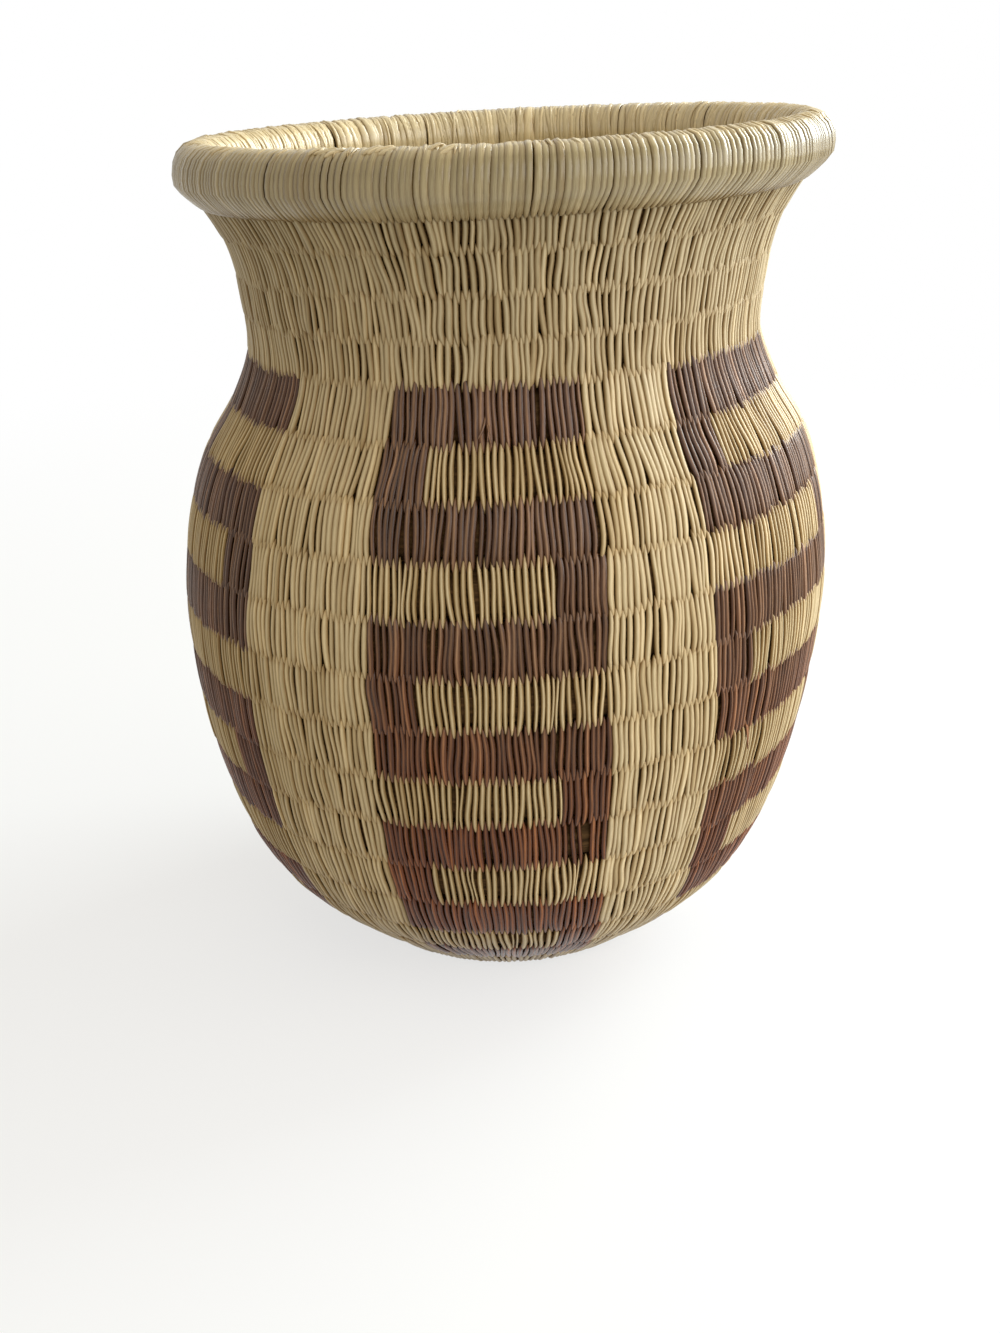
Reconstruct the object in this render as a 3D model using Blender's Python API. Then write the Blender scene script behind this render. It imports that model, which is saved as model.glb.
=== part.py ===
"""A coiled vase of grass and palm leaf, in metres, +Z up, standing on the plane z = 0.

One bundle of grass winds in a spiral from the middle of the base to the rim, and palm
strands sew each row to the one below. The strands cover the bundle outside and inside:
cream ones all over, and brown ones in six upright meander bands. The vase's axis is Z.
Angles run from the front, at -Y, towards +X.
"""

import math

import bmesh
import bpy
import numpy as np
from mathutils import Vector

# The outer line of the wall, from the flat underside to the lip
FLOOR_RADIUS = 0.044
BELLY_RADIUS = 0.090
BELLY_HEIGHT = 0.102
NECK_RADIUS = 0.0686
NECK_HEIGHT = 0.173

# How far the lip reaches out past the neck, and how high it stands above it
LIP_FLARE = 0.0099
LIP_RISE = 0.0390

# The flat underside ends this far inside the floor radius
FLOOR_BEVEL = 0.001

# What the wall is made of, from the outside in
STRAND_THICKNESS = 0.0011
BUNDLE_THICKNESS = 0.0050
FIT_GAP = 0.0003

# The rolled rim stands proud of the wall's faces by this much on each side, and its
# oval section reaches this much further up and down than across
RIM_OVERHANG = 0.0007
RIM_EXTRA_HEIGHT = 0.0014

# The knot that the spiral starts from
KNOT_RADIUS = 0.0055

# Points between the named radii and heights, as (radius, height) shares of each stretch
FOOT_WALL_SHARES = ((0.49, 0.196), (0.715, 0.353), (0.86, 0.549), (0.954, 0.765))
SHOULDER_SHARES = ((0.037, 0.225), (0.173, 0.45), (0.40, 0.648), (0.752, 0.817))
FLARE_SHARES = ((0.07, 0.33), (0.27, 0.64), (0.62, 0.85))

# The rows lean: they stand higher on the +X side by this share of the distance across
LEAN_SHARE = 0.0435

# Counts
BASE_ROWS = 4
BODY_ROWS = 13
NECK_ROWS = 4
BANDS = 6
BAND_CELLS = 5
SPACE_CELLS = 3
CURVE_STEPS = 12
RIM_SIDES = 12

# Angles
BAND_START_ANGLE = math.radians(-21.5)
CLIMB_END_ANGLE = math.radians(218.5)
CLIMB_SEGMENTS = 2
SHARP_ANGLE = math.radians(40)

# What follows from the sizes and counts above
SEGMENTS = BANDS * (BAND_CELLS + SPACE_CELLS)
CELL_ANGLE = math.tau / SEGMENTS
BUNDLE_SEGMENTS = SEGMENTS // 2
BUNDLE_ANGLE = math.tau / BUNDLE_SEGMENTS
ALL_ROWS = BASE_ROWS + BODY_ROWS + NECK_ROWS
BUNDLE_OUT = STRAND_THICKNESS + FIT_GAP
BUNDLE_IN = BUNDLE_OUT + BUNDLE_THICKNESS
LINING_OUT = BUNDLE_IN + FIT_GAP
MERGE_DISTANCE = FIT_GAP / 100
WALL_THICKNESS = LINING_OUT + STRAND_THICKNESS
RIM_ACROSS = WALL_THICKNESS / 2 + RIM_OVERHANG
RIM_UP = RIM_ACROSS + RIM_EXTRA_HEIGHT

# Colour, roughness
GRASS = ((0.42, 0.30, 0.15, 1.0), 0.85)
CREAM_STRAND = ((0.74, 0.62, 0.40, 1.0), 0.55)
BROWN_STRAND = ((0.15, 0.075, 0.045, 1.0), 0.5)


def clear_scene():
    for old in list(bpy.data.objects):
        bpy.data.objects.remove(old, do_unlink=True)


def material(name, look):
    colour, roughness = look
    made = bpy.data.materials.new(name)
    made.use_nodes = True
    shader = made.node_tree.nodes["Principled BSDF"]
    shader.inputs["Base Color"].default_value = colour
    shader.inputs["Roughness"].default_value = roughness
    shader.inputs["Metallic"].default_value = 0.0
    return made


def between(start, end, shares):
    """Points from start to end, both (radius, height), at shares of the way in each."""
    return [
        (
            start[0] + (end[0] - start[0]) * across,
            start[1] + (end[1] - start[1]) * up,
        )
        for across, up in shares
    ]


def smooth_line(points):
    """A Catmull-Rom curve through the points, with CURVE_STEPS steps in each span."""
    knots = np.array([points[0]] + list(points) + [points[-1]])
    line = [knots[1]]
    for a, b, c, d in zip(knots, knots[1:], knots[2:], knots[3:]):
        for step in range(1, CURVE_STEPS + 1):
            t = step / CURVE_STEPS
            bend = (2 * a - 5 * b + 4 * c - d) * t**2 + (3 * b - a - 3 * c + d) * t**3
            line.append(b + ((c - a) * t + bend) / 2)
    return line


def wall_line():
    """The wall's outer line from the axis to the lip, and the index of its neck."""
    floor_edge = (FLOOR_RADIUS, 0.0)
    belly = (BELLY_RADIUS, BELLY_HEIGHT)
    neck = (NECK_RADIUS, NECK_HEIGHT)
    lip = (NECK_RADIUS + LIP_FLARE, NECK_HEIGHT + LIP_RISE)
    body = [floor_edge] + between(floor_edge, belly, FOOT_WALL_SHARES)
    body += [belly] + between(belly, neck, SHOULDER_SHARES) + [neck]
    points = body + between(neck, lip, FLARE_SHARES) + [lip]
    line = np.array([(0.0, 0.0)] + smooth_line(points))
    return line, 1 + (len(body) - 1) * CURVE_STEPS


LINE, NECK_INDEX = wall_line()
STEPS = np.hypot(*np.diff(LINE, axis=0).T)
RUNS = np.concatenate([[0.0], np.cumsum(STEPS)])
DIRECTIONS = np.gradient(LINE, RUNS, axis=0)
DIRECTIONS[0] = DIRECTIONS[1] = (LINE[1] - LINE[0]) / STEPS[0]

# The run along the line at each row's edge. The row numbered -1 stands for the axis.
FLAT_EDGES = np.linspace(KNOT_RADIUS, FLOOR_RADIUS - FLOOR_BEVEL, BASE_ROWS)
BODY_EDGES = np.linspace(FLAT_EDGES[-1], RUNS[NECK_INDEX], BODY_ROWS + 2)
NECK_EDGES = np.linspace(RUNS[NECK_INDEX], RUNS[-1], NECK_ROWS + 1)
EDGES = np.concatenate([[0.0], FLAT_EDGES, BODY_EDGES[1:], NECK_EDGES[1:]])
EDGE_ROWS = np.arange(-1, ALL_ROWS + 1)


def at_edges(values):
    return np.stack([np.interp(EDGES, RUNS, values[:, k]) for k in (0, 1)], axis=1)


# The outer points of the rows' edges, and the way into the wall there
EDGE_POINTS = at_edges(LINE)
ALONG = at_edges(DIRECTIONS)
INWARD = np.stack([-ALONG[:, 1], ALONG[:, 0]], axis=1)
INWARD /= np.hypot(*INWARD.T)[:, None]


def section_point(row, depth):
    """The (radius, height) at a row number, or between two, this deep in the wall."""
    line = EDGE_POINTS + depth * INWARD
    return [float(np.interp(row, EDGE_ROWS, line[:, k])) for k in (0, 1)]


def inset(row, way):
    """The row number half a gap above this one, or below it where the way is -1."""
    run = np.interp(row, EDGE_ROWS, EDGES) + way * FIT_GAP / 2
    return float(np.interp(run, EDGES, EDGE_ROWS))


def leaning(angle, radius, height):
    """A point of the vase. The lean grows from nothing at the floor to its full share."""
    x = radius * math.sin(angle)
    rise = min(max(height / BELLY_HEIGHT, 0.0), 1.0)
    lean = LEAN_SHARE * rise * rise * (3 - 2 * rise)
    return Vector((x, -radius * math.cos(angle), height + lean * x))


def wall_point(angle, row, depth):
    return leaning(angle, *section_point(row, depth))


def swept(sections, ring, closed_section=True):
    """A mesh through sections of equal length, either joined in a ring or capped.

    A quad is split from its first corner. The side that closes the section starts at
    another corner, so that it splits like the side of the neighbour that it faces.
    """
    mesh = bmesh.new()
    loops = [[mesh.verts.new(point) for point in section] for section in sections]
    pairs = list(zip(loops, loops[1:]))
    if ring:
        pairs.append((loops[-1], loops[0]))
    count = len(loops[0])
    for first, second in pairs:
        for k in range(count if closed_section else count - 1):
            n = (k + 1) % count
            quad = (first[k], second[k], second[n], first[n])
            mesh.faces.new(quad if n else quad[1:] + quad[:1])
    if not ring:
        mesh.faces.new(loops[0])
        mesh.faces.new(reversed(loops[-1]))
    return mesh


def turned(rows, outer, inner, segments, closed_section=True):
    """The part of the wall between two depths, turned about the axis."""
    line = [(row, outer) for row in rows] + [(row, inner) for row in reversed(rows)]
    angles = [BAND_START_ANGLE + math.tau * k / segments for k in range(segments)]
    sections = [[wall_point(angle, *at) for at in line] for angle in angles]
    return swept(sections, True, closed_section)


def turned_layer(first, last, outer, inner, segments):
    """A ring of the wall between two depths, over the rows between these numbers."""
    rows = [inset(first, 1), *range(first + 1, last), inset(last, -1)]
    return turned(rows, outer, inner, segments)


def turned_floor(outer, inner, segments):
    """A dish over the base rows between two depths, closed at the axis."""
    rows = [-1, BASE_ROWS - 1, inset(BASE_ROWS, -1)]
    mesh = turned(rows, outer, inner, segments, closed_section=False)
    bmesh.ops.remove_doubles(mesh, verts=mesh.verts, dist=MERGE_DISTANCE)
    return mesh


def climb_at(segment):
    """How much of a row's width the spiral has climbed by this segment of its turn."""
    return max(0.0, 1 + (segment - BUNDLE_SEGMENTS) / CLIMB_SEGMENTS)


def drawn_back(points, others):
    """These points, each half a gap nearer to its partner in the section beside it."""
    return [
        point + (other - point).normalized() * (FIT_GAP / 2)
        for point, other in zip(points, others)
    ]


def bundle_row(row):
    """One turn of the grass bundle. It climbs at the back and meets the next turn.

    The wall bends at each row's edge, so a climbing section has a corner there too.
    """
    last = BUNDLE_SEGMENTS - (row == ALL_ROWS - 1)
    sections = []
    for segment in range(last + 1):
        angle = CLIMB_END_ANGLE + segment * BUNDLE_ANGLE
        climbed = row + climb_at(segment)
        low = inset(climbed, 1)
        high = inset(min(climbed + 1, ALL_ROWS), -1)
        bend = min(max(row + 1, low), high)
        outer = [(at, BUNDLE_OUT) for at in (low, bend, high)]
        inner = [(at, BUNDLE_IN) for at in (high, bend, low)]
        sections.append([wall_point(angle, *corner) for corner in outer + inner])
    sections[0] = drawn_back(sections[0], sections[1])
    sections[-1] = drawn_back(sections[-1], sections[-2])
    mesh = swept(sections, False)
    bmesh.ops.remove_doubles(mesh, verts=mesh.verts, dist=MERGE_DISTANCE)
    return mesh


def start_knot():
    """The knot and the tail that leads from it into the first row."""
    faces = []
    for depth in (BUNDLE_OUT, BUNDLE_IN):
        points = [
            wall_point(
                CLIMB_END_ANGLE + segment * BUNDLE_ANGLE,
                inset(climb_at(segment), -1),
                depth,
            )
            for segment in range(BUNDLE_SEGMENTS + 1)
        ]
        points[-1] = drawn_back(points[-1:], points[-2:])[0]
        faces.append(points)
    mesh = bmesh.new()
    lower, upper = [[mesh.verts.new(point) for point in points] for points in faces]
    mesh.faces.new(reversed(lower))
    mesh.faces.new(upper)
    for k in range(len(lower)):
        n = (k + 1) % len(lower)
        mesh.faces.new((lower[k], lower[n], upper[n], upper[k]))
    return mesh


def stitched_patch(cells):
    """Outer stitching over some (column, row) cells of the body, inset by half a gap."""
    mesh = bmesh.new()
    made = {}

    def has(column, row):
        return (column % SEGMENTS, row) in cells

    def corner(column, row):
        key = (column % SEGMENTS, row)
        if key not in made:
            sides = [
                (2 * a + 1, 2 * b + 1)
                for a in (-1, 0)
                for b in (-1, 0)
                if has(column + a, row + b)
            ]
            across = np.sign(sum(side[0] for side in sides))
            up = np.sign(sum(side[1] for side in sides))
            number = inset(BASE_ROWS + row, up)
            shift = across * FIT_GAP / 2 / section_point(number, WALL_THICKNESS)[0]
            angle = BAND_START_ANGLE + key[0] * CELL_ANGLE + shift
            made[key] = [
                mesh.verts.new(wall_point(angle, number, depth))
                for depth in (0.0, STRAND_THICKNESS)
            ]
        return made[key]

    for column, row in sorted(cells):
        a, b = corner(column, row), corner(column + 1, row)
        c, d = corner(column + 1, row + 1), corner(column, row + 1)
        mesh.faces.new((a[0], b[0], c[0], d[0]))
        mesh.faces.new((d[1], c[1], b[1], a[1]))
        for first, second, beside in (
            (a, b, (column, row - 1)),
            (b, c, (column + 1, row)),
            (c, d, (column, row + 1)),
            (d, a, (column - 1, row)),
        ):
            if not has(*beside):
                mesh.faces.new((second[0], first[0], first[1], second[1]))
    return mesh


def is_brown(cell, row):
    """Whether a cell of a band is brown. Every second row, counted from the top, runs
    right across; those between hold one linking cell, at the left and right in turn."""
    from_top = BODY_ROWS - row
    if cell >= BAND_CELLS:
        return False
    if from_top % 2:
        return True
    at_left = from_top // 2 % 2
    return cell == (0 if at_left else BAND_CELLS - 1)


def brown_cells(band):
    first = band * (BAND_CELLS + SPACE_CELLS)
    return {
        (first + cell, row)
        for cell in range(BAND_CELLS)
        for row in range(BODY_ROWS)
        if is_brown(cell, row)
    }


def cream_cells(band):
    """The plain space to the right of a band, with the notches that open into it."""
    period = BAND_CELLS + SPACE_CELLS
    cells = set()
    for row in range(BODY_ROWS):
        from_left = is_brown(0, row) and not is_brown(1, row)
        from_right = is_brown(BAND_CELLS - 1, row) and not is_brown(0, row)
        start = 1 if from_left else BAND_CELLS
        end = period + (BAND_CELLS - 1 if from_right else 0)
        for cell in range(start, end):
            cells.add(((band * period + cell) % SEGMENTS, row))
    return cells


def rim_centre():
    """The middle of the rolled rim's section, in line with the middle of the lip, and the
    direction (out, up) from one to the other."""
    radius, height = section_point(ALL_ROWS, WALL_THICKNESS / 2)
    out, up = DIRECTIONS[-1] / np.hypot(*DIRECTIONS[-1])
    rise = math.hypot(RIM_ACROSS * out, RIM_UP * up) + FIT_GAP
    return (radius + rise * out, height + rise * up), (out, up)


def rim_ring(line):
    """A ring whose section runs through points (proud, turn): each lies on the rim
    bundle's oval, grown by that much, at that turn round the oval."""
    (radius, height), _ = rim_centre()
    sections = []
    for k in range(SEGMENTS):
        angle = BAND_START_ANGLE + k * CELL_ANGLE
        sections.append([
            leaning(
                angle,
                radius + (RIM_ACROSS + proud) * math.cos(turn),
                height + (RIM_UP + proud) * math.sin(turn),
            )
            for proud, turn in line
        ])
    return swept(sections, True)


def rim_bundle():
    """The thicker bundle inside the rolled rim."""
    return rim_ring([(0.0, math.tau * k / RIM_SIDES) for k in range(RIM_SIDES)])


def rim_wrap():
    """The stitches wound over the rolled rim, open below where the wall comes in."""
    _, (out, up) = rim_centre()
    inner = FIT_GAP
    outer = inner + STRAND_THICKNESS
    across = (RIM_ACROSS + inner) * up
    along = (RIM_UP + inner) * out
    opening = math.asin((WALL_THICKNESS / 2 + FIT_GAP) / math.hypot(across, along))
    start = opening - math.pi / 2 - math.atan2(along, across)
    step = (math.tau - 2 * opening) / RIM_SIDES
    turns = [start + step * k for k in range(RIM_SIDES + 1)]
    return rim_ring([(outer, turn) for turn in turns] + [(inner, turn) for turn in turns[::-1]])


def add_piece(name, shape, look, parent):
    """A named object from a bmesh, smooth except at its sharp edges."""
    bmesh.ops.recalc_face_normals(shape, faces=shape.faces)
    data = bpy.data.meshes.new(name)
    shape.to_mesh(data)
    shape.free()
    data.shade_smooth()
    data.set_sharp_from_angle(angle=SHARP_ANGLE)
    data.materials.append(material(name, look))
    piece = bpy.data.objects.new(name, data)
    piece.parent = parent
    bpy.context.collection.objects.link(piece)
    return piece


def build_bundle(parent):
    add_piece("start_knot", start_knot(), GRASS, parent)
    for row in range(ALL_ROWS):
        if row < BASE_ROWS:
            name = f"base_bundle_row_{row + 1}"
        elif row < BASE_ROWS + BODY_ROWS:
            name = f"body_bundle_row_{row - BASE_ROWS + 1:02d}"
        else:
            name = f"neck_bundle_row_{row - BASE_ROWS - BODY_ROWS + 1}"
        add_piece(name, bundle_row(row), GRASS, parent)
    add_piece("rim_bundle", rim_bundle(), GRASS, parent)


def build_outer_stitching(parent):
    floor = turned_floor(0.0, STRAND_THICKNESS, SEGMENTS)
    add_piece("base_stitching", floor, CREAM_STRAND, parent)
    for band in range(BANDS):
        brown = stitched_patch(brown_cells(band))
        add_piece(f"brown_meander_{band + 1}", brown, BROWN_STRAND, parent)
        cream = stitched_patch(cream_cells(band))
        add_piece(f"cream_field_{band + 1}", cream, CREAM_STRAND, parent)
    neck_row = BASE_ROWS + BODY_ROWS
    neck = turned_layer(neck_row, ALL_ROWS, 0.0, STRAND_THICKNESS, SEGMENTS)
    add_piece("neck_stitching", neck, CREAM_STRAND, parent)
    add_piece("rim_stitching", rim_wrap(), CREAM_STRAND, parent)


def build_inner_stitching(parent):
    floor = turned_floor(LINING_OUT, WALL_THICKNESS, BUNDLE_SEGMENTS)
    add_piece("inner_base_stitching", floor, CREAM_STRAND, parent)
    neck_row = BASE_ROWS + BODY_ROWS
    for name, first, last in (
        ("inner_body_stitching", BASE_ROWS, neck_row),
        ("inner_neck_stitching", neck_row, ALL_ROWS),
    ):
        layer = turned_layer(first, last, LINING_OUT, WALL_THICKNESS, BUNDLE_SEGMENTS)
        add_piece(name, layer, CREAM_STRAND, parent)


def main():
    clear_scene()
    vase = bpy.data.objects.new("vase", None)
    bpy.context.collection.objects.link(vase)
    build_bundle(vase)
    build_outer_stitching(vase)
    build_inner_stitching(vase)


main()
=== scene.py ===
"""Sews the coiled vase, stitch by stitch, over its grass bundle. Lengths are in metres.

The vase's axis is Z, and angles run from the front, at -Y, towards +X. A place in the wall
is an angle, a row number and a depth. Rows are numbered along the wall, from 0 at the edge
of the knot in the middle of the base to 21 at the lip. Depths go from the outer face in.
"""

import math

import bpy
import numpy as np
from bpy.props import FloatProperty, FloatVectorProperty, IntProperty, PointerProperty
from mathutils import Matrix


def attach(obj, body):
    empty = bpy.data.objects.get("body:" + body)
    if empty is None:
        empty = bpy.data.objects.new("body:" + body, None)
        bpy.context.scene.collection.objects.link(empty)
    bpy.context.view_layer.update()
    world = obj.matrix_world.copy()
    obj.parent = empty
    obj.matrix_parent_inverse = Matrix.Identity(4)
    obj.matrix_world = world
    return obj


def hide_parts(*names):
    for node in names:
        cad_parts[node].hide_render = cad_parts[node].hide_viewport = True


bl_info = {
    "name": "Sewn Vase",
    "version": (1, 0, 0),
    "blender": (4, 5, 0),
    "location": "3D View > Sidebar > Vase",
    "description": "Sews a coiled grass vase stitch by stitch and sets it on a pale floor",
    "category": "Object",
}

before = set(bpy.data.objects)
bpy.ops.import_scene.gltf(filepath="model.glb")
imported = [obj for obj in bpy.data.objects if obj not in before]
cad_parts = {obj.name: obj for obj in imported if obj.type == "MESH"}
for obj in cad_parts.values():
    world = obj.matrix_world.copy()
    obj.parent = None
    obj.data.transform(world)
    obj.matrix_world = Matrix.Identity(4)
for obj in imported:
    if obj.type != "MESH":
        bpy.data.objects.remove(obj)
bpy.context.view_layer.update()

# The wall's outer line, as the solids have it: a flat floor, a belly, a neck and a lip
FLOOR_RADIUS = 0.044
BELLY_RADIUS = 0.090
BELLY_HEIGHT = 0.102
NECK_RADIUS = 0.0686
NECK_HEIGHT = 0.173
LIP_RADIUS = 0.0785
LIP_HEIGHT = 0.212
FLOOR_BEVEL = 0.001
FOOT_WALL_SHARES = ((0.49, 0.196), (0.715, 0.353), (0.86, 0.549), (0.954, 0.765))
SHOULDER_SHARES = ((0.037, 0.225), (0.173, 0.45), (0.40, 0.648), (0.752, 0.817))
FLARE_SHARES = ((0.07, 0.33), (0.27, 0.64), (0.62, 0.85))
LEAN_SHARE = 0.0435
CURVE_STEPS = 12
LINE_STEP = 0.0005
CORNER_REACH = 0.004

# The wall's build-up: its bundle's middle and half depth, and the rolled rim's oval
WALL_THICKNESS = 0.0078
BUNDLE_DEPTH = 0.0039
BUNDLE_HALF_DEPTH = 0.0030
BUNDLE_GAP = 0.0001
RIM_ACROSS = 0.0046
RIM_UP = 0.0060
RIM_GAP = 0.0003
RIM_COVER = 0.00105

# The knot curls outwards: the middle and half width of its bundle at its start and its
# end, and the half width with which it runs into the first row
KNOT_RADIUS = 0.0055
KNOT_HALF_DEPTH = 0.0027
KNOT_MIDDLES = (0.0019, 0.0031)
KNOT_HALVES = (0.0016, 0.0024)
FIRST_ROW_HALF = 0.0066
KNOT_TURNS = 1.6

# How much a strand's section narrows to a ridge, where 1 is an oval, the points round it,
# and the share of its width that it loses at its ends
RIDGE_SHARPNESS = 1.6
STRAND_SIDES = 8
TIP_NARROWING = 0.88

# Rings of points along each strand, and along each turn of the bundle
STRAND_RINGS = 13
INNER_RINGS = 10
RIM_RINGS = 22
BUNDLE_RINGS = 97
RIM_BUNDLE_RINGS = 144
KNOT_RINGS = 61

# Points round a bundle, with 3 to a stem, how far the grooves between stems lie out, how
# much the points differ, and how wide the streaks' pattern is
STEM_POINTS = 36
STEM_GROOVE = 0.90
STEM_UNEVENNESS = 0.015
STEM_SPREAD = 0.004

# Furthest that a stitch strays, as a share of the distance to the next, and the spread
# of the heights at which stitches lie
MOST_STRAY = 0.34
LIFT_SPREAD = 0.00013

# Rows of the coil
BASE_ROWS = 4
BODY_ROWS = 13
NECK_ROWS = 4
ALL_ROWS = BASE_ROWS + BODY_ROWS + NECK_ROWS
NECK_ROW = BASE_ROWS + BODY_ROWS

# The frame's names for the turns of the bundle
BUNDLE_NAMES = (
    *(f"base_bundle_row_{number + 1}" for number in range(BASE_ROWS)),
    *(f"body_bundle_row_{number + 1:02d}" for number in range(BODY_ROWS)),
    *(f"neck_bundle_row_{number + 1}" for number in range(NECK_ROWS)),
)

# The spiral climbs one row at the back, over this angle before the place where it ends
CLIMB_END = math.radians(218.5)
CLIMB_ANGLE = math.radians(30)

# The six meander bands. Their edges wander from the even spacing, by these degrees at the
# top and at the bottom of the left edge, then of the right edge.
BANDS = 6
BAND_START = math.radians(-21.5)
BAND_WIDTH = math.radians(37.5)
BAND_SPACING = math.tau / BANDS
LINK_WIDTH = math.radians(8.0)
BAND_WANDER = (
    (-0.5, 1.4, -1.0, 5.2),
    (-4.6, 3.6, 1.0, 4.0),
    (0.0, 2.0, -1.0, 2.5),
    (1.0, -1.0, 0.5, 1.5),
    (-1.0, 1.0, -1.5, 0.5),
    (-2.0, 0.0, -2.6, -0.4),
)

# How close stitches lie to their neighbours, from apart to pressed flat side by side
BAND_CREAM_TIGHTNESS = -0.3
BROWN_TIGHTNESS = 0.45
NECK_TIGHTNESS = 0.55
FIELD_TIGHTNESS = 0.7

# How many stitches the first row is sewn into, and how many strands lie over the knot,
# inside the rim, in a tuft on its crest and in a loose end
FIRST_HEADS = 24
KNOT_STRANDS = 14
LOOSE_STRANDS = 460
TUFT_STRANDS = 6
END_STRANDS = 3

# Places where short ends stand off the rim's crest, in degrees
CREST_TUFTS = (-28.4, -19.9, -9.4, 73.0, 131.0, 187.0, 262.0)

# Loose ends on the body: the angle in degrees, and the rows where they start and end
LOOSE_ENDS = {
    "brown": ((-2.8, 16.55, 16.05), (44.5, 10.20, 9.75), (172.0, 14.60, 14.10)),
    "cream": ((139.0, 12.30, 11.90), (256.0, 9.40, 9.00)),
}

# A stitch left out of the front, as row and angle
MISSING_STITCH = (8, math.radians(13.9))

# The lamps: name, place, width and height, share of the window's power, and colour
LAMPS = (
    ("window_light", (1.05, 0.03, 0.42), (1.0, 0.7), 1.0, (0.96, 0.99, 1.0)),
    ("sky_light", (0.86, 0.60, 0.68), (0.7, 0.7), 1.75, (0.86, 0.97, 1.0)),
    ("front_light", (0.68, -0.95, 0.66), (0.9, 0.9), 0.60, (0.96, 0.98, 1.0)),
)
LAMPS_AIM = (0.0, 0.0, 0.12)
FLOOR_REACH = 4.0
ROOM_COLOUR = (1.0, 0.92, 0.70, 1.0)
WHITE = (1.0, 1.0, 1.0, 1.0)

# The camera: its place, its lens and sensor in millimetres, and its turn, tilt and roll
CAMERA_PLACE = (0.0, -0.4125, 0.2469)
CAMERA_LENS = 40.78
CAMERA_SENSOR = 36.0
CAMERA_TURN = math.radians(0.20)
CAMERA_TILT = math.radians(67.30)
CAMERA_ROLL = math.radians(-0.40)


def unit(vectors):
    """The same directions with length one."""
    return vectors / np.maximum(np.linalg.norm(vectors, axis=-1, keepdims=True), 1e-12)


def read_off(places, marks, pairs):
    """The pair at each place, from pairs given at marks."""
    return np.stack([np.interp(places, marks, pairs[:, k]) for k in (0, 1)], axis=-1)


def walked(points):
    """The distance along a line, or each of several, at each of its points."""
    steps = np.linalg.norm(np.diff(points, axis=-2), axis=-1)
    none = np.zeros((*steps.shape[:-1], 1))
    return np.concatenate([none, np.cumsum(steps, axis=-1)], axis=-1)


def clipped(values, low, high):
    """How far from low to high each value lies, from zero to one."""
    return np.clip((values - low) / (high - low), 0.0, 1.0)


def smoothed(share):
    """A share from zero to one that starts and stops gently."""
    return share * share * (3 - 2 * share)


def crowded(count):
    """Shares from zero to one that lie closer together towards both ends."""
    return (1 - np.cos(np.linspace(0, math.pi, count))) / 2


def between(start, end, shares):
    """Points from start to end, both (radius, height), at shares of the way in each."""
    start, end = np.array(start), np.array(end)
    return [tuple(start + (end - start) * share) for share in np.array(shares)]


def smooth_line(points):
    """A Catmull-Rom curve through the points, with CURVE_STEPS steps in each span."""
    knots = np.array([points[0]] + list(points) + [points[-1]])
    line = [knots[1]]
    for a, b, c, d in zip(knots, knots[1:], knots[2:], knots[3:]):
        for step in range(1, CURVE_STEPS + 1):
            t = step / CURVE_STEPS
            bend = (2 * a - 5 * b + 4 * c - d) * t**2 + (3 * b - a - 3 * c + d) * t**3
            line.append(b + ((c - a) * t + bend) / 2)
    return line


def wall_line():
    """The wall's outer line from the axis to the lip, and the index of its neck."""
    floor_edge = (FLOOR_RADIUS, 0.0)
    belly = (BELLY_RADIUS, BELLY_HEIGHT)
    neck = (NECK_RADIUS, NECK_HEIGHT)
    lip = (LIP_RADIUS, LIP_HEIGHT)
    body = [floor_edge] + between(floor_edge, belly, FOOT_WALL_SHARES)
    body += [belly] + between(belly, neck, SHOULDER_SHARES) + [neck]
    points = body + between(neck, lip, FLARE_SHARES) + [lip]
    line = np.array([(0.0, 0.0)] + smooth_line(points))
    return line, 1 + (len(body) - 1) * CURVE_STEPS


def rounded(line, runs):
    """The line at even steps, with its corner at the floor rounded off."""
    fine = np.arange(0.0, runs[-1], LINE_STEP)
    points = read_off(fine, runs, line)
    reach = round(CORNER_REACH / LINE_STEP)
    kernel = np.hanning(2 * reach + 3)[1:-1]
    kernel /= kernel.sum()
    steps = np.arange(1, reach + 1)[:, None]
    before = points[0] - (points[1] - points[0]) * steps[::-1]
    after = points[-1] + (points[-1] - points[-2]) * steps
    padded = np.concatenate([before, points, after])
    soft = [np.convolve(padded[:, k], kernel, mode="valid") for k in (0, 1)]
    return fine, np.stack(soft, axis=1)


LINE, NECK_INDEX = wall_line()
RUNS = walked(LINE)
DIRECTIONS = np.gradient(LINE, RUNS, axis=0)
DIRECTIONS[0] = DIRECTIONS[1] = (LINE[1] - LINE[0]) / RUNS[1]
FINE_RUNS, FINE_LINE = rounded(LINE, RUNS)

# The run along the line at each row's edge. The row numbered -1 stands for the axis.
FLAT_EDGES = np.linspace(KNOT_RADIUS, FLOOR_RADIUS - FLOOR_BEVEL, BASE_ROWS)
BODY_EDGES = np.linspace(FLAT_EDGES[-1], RUNS[NECK_INDEX], BODY_ROWS + 2)
NECK_EDGES = np.linspace(RUNS[NECK_INDEX], RUNS[-1], NECK_ROWS + 1)
EDGES = np.concatenate([[0.0], FLAT_EDGES, BODY_EDGES[1:], NECK_EDGES[1:]])
EDGE_ROWS = np.arange(-1, ALL_ROWS + 1)
ALONG = read_off(EDGES, RUNS, DIRECTIONS)
INWARD = unit(np.stack([-ALONG[:, 1], ALONG[:, 0]], axis=1))


def inward_at(run):
    """The (out, up) direction into the wall at a run along it."""
    return unit(read_off(run, EDGES, INWARD))


def section(run, depth):
    """The (radius, height) at a run along the wall, this deep in it."""
    outer = read_off(run, FINE_RUNS, FINE_LINE)
    return outer + np.asarray(depth)[..., None] * inward_at(run)


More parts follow.
